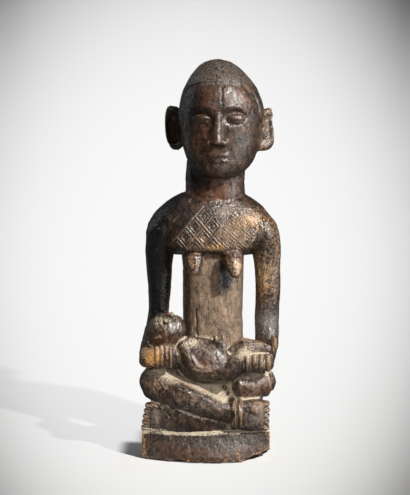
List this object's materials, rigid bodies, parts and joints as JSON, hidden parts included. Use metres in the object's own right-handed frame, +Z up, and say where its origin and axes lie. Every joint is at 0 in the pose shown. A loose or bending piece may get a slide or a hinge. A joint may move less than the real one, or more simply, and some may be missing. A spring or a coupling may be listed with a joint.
{
  "type": "kongo maternity figure",
  "caption": "Seated mother carved from one block of dark wood, cross-legged on a low base, a child lying across her lap.",
  "frame": {"origin": "on the underside of the base, in the middle of the figure's outline seen from above", "axes": "+Z up, +X to the viewer's right, the figure faces -Y"},
  "size_m": [0.1002, 0.0908, 0.28],
  "materials": {
    "wood": "dark brown oiled patina, glossy on the head and limbs, dull and dusty in the hollows"
  },
  "bodies": {
    "root": {"maternity_figure": "wood"}
  },
  "joints": []
}
